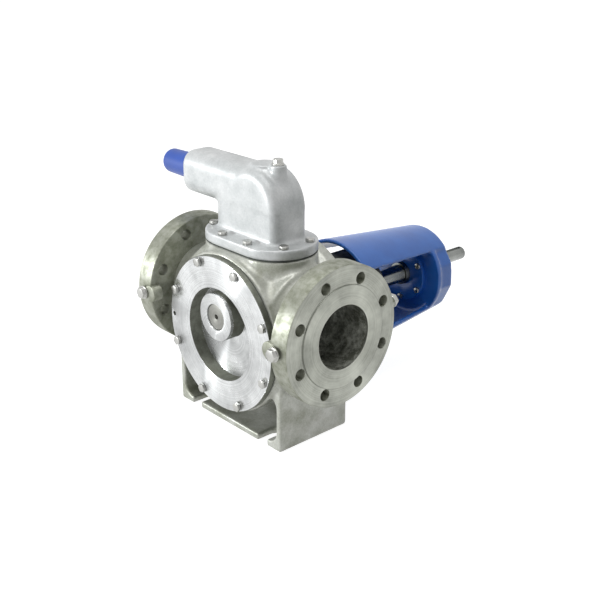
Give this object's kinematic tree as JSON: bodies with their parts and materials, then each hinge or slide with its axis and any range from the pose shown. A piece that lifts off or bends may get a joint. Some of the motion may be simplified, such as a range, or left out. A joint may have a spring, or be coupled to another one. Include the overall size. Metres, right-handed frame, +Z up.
{
  "type": "internal gear pump",
  "caption": "Flanged internal gear pump with an idler on a pin, a crescent, a spring relief valve on top and a shaft in a bearing bracket.",
  "frame": {"origin": "centre of the foot on the base plane, below the crossing of the port plane and the shaft plane, midway between the two port faces", "axes": "+X out of the right-hand port seen from the front cover, +Y along the shaft towards its drive end, +Z up"},
  "size_m": [0.4183, 0.613, 0.429],
  "materials": {
    "cast_steel": "cast and blasted",
    "cast_valve": "cast and blasted",
    "turned_steel": "turned",
    "screw_steel": "plain",
    "gear_steel": "ground",
    "shaft_steel": "turned",
    "grey_iron": "matte",
    "blue_paint": "semi-gloss",
    "blue_cap": "satin",
    "bush_bronze": "turned",
    "packing_yarn": "braided and greased",
    "gasket_sheet": "matte",
    "bearing_steel": "polished",
    "spring_steel": "plain"
  },
  "bodies": {
    "pump": {"casing": "cast_steel", "front_cover": "turned_steel", "cover_gasket": "gasket_sheet", "cover_bolts": "screw_steel", "idler_pin": "turned_steel", "rear_cover": "grey_iron", "rear_cover_gasket": "gasket_sheet", "rear_cover_screws": "screw_steel", "shaft_bush": "bush_bronze", "packing_rings": "packing_yarn", "gland_studs": "screw_steel", "bearing_bracket": "blue_paint", "bracket_bolts": "screw_steel", "bearing_outer_ring": "bearing_steel", "bearing_cover_front": "blue_paint", "bearing_cover_rear": "blue_paint", "bearing_cover_screws": "screw_steel", "valve_body": "cast_valve", "valve_gasket": "gasket_sheet", "valve_screws": "screw_steel", "valve_seat": "turned_steel", "valve_bonnet": "turned_steel", "adjusting_locknut": "screw_steel", "valve_plug": "screw_steel", "gauge_plugs": "screw_steel"},
    "rotor_set": {"rotor": "gear_steel", "rotor_key": "screw_steel", "shaft": "shaft_steel", "bearing_inner_ring": "bearing_steel", "shaft_locknut": "screw_steel"},
    "idler_set": {"idler_gear": "gear_steel", "idler_bush": "bush_bronze"},
    "ball_set": {"bearing_balls": "bearing_steel", "bearing_cage": "bush_bronze"},
    "gland_set": {"gland": "turned_steel", "gland_nuts": "screw_steel"},
    "relief_cone": {"valve_cone": "turned_steel", "valve_spring": "spring_steel"},
    "guide": {"spring_guide": "turned_steel"},
    "adjuster": {"adjusting_screw": "screw_steel"},
    "cap": {"valve_cap": "blue_cap"}
  },
  "joints": [
    {"name": "rotor_spin", "type": "hinge", "parent": "pump", "child": "rotor_set", "pos_m": [0, 0, 0.16], "axis": [0, 1, 0], "continuous": true},
    {"name": "idler_spin", "type": "hinge", "parent": "pump", "child": "idler_set", "pos_m": [0, 0, 0.19], "axis": [0, 1, 0], "continuous": true},
    {"name": "ball_set_spin", "type": "hinge", "parent": "pump", "child": "ball_set", "pos_m": [0, 0.35545, 0.16], "axis": [0, 1, 0], "continuous": true},
    {"name": "gland_slide", "type": "slide", "parent": "pump", "child": "gland_set", "axis": [0, 1, 0], "range_m": [0, 0.012]},
    {"name": "valve_lift", "type": "slide", "parent": "pump", "child": "relief_cone", "axis": [-1, 0, 0], "range_m": [0, 0.01], "stiffness_N_per_m": 20500, "springref_m": -0.0207, "deforming": ["valve_spring"]},
    {"name": "spring_guide_slide", "type": "slide", "parent": "pump", "child": "guide", "axis": [1, 0, 0], "range_m": [-0.006, 0.01]},
    {"name": "adjusting_screw_turn", "type": "hinge", "parent": "guide", "child": "adjuster", "pos_m": [-0.16, 0, 0.378], "axis": [1, 0, 0], "range_deg": [-1098, 1818]},
    {"name": "cap_slide", "type": "slide", "parent": "pump", "child": "cap", "axis": [-1, 0, 0], "range_m": [0, 0.06]}
  ],
  "couplings": [
    {"joint": "idler_spin", "follows": "rotor_spin", "ratio": 1.5714},
    {"joint": "ball_set_spin", "follows": "rotor_spin", "ratio": 0.40435},
    {"joint": "adjusting_screw_turn", "follows": "spring_guide_slide", "rad_per_m": 3141.6}
  ]
}
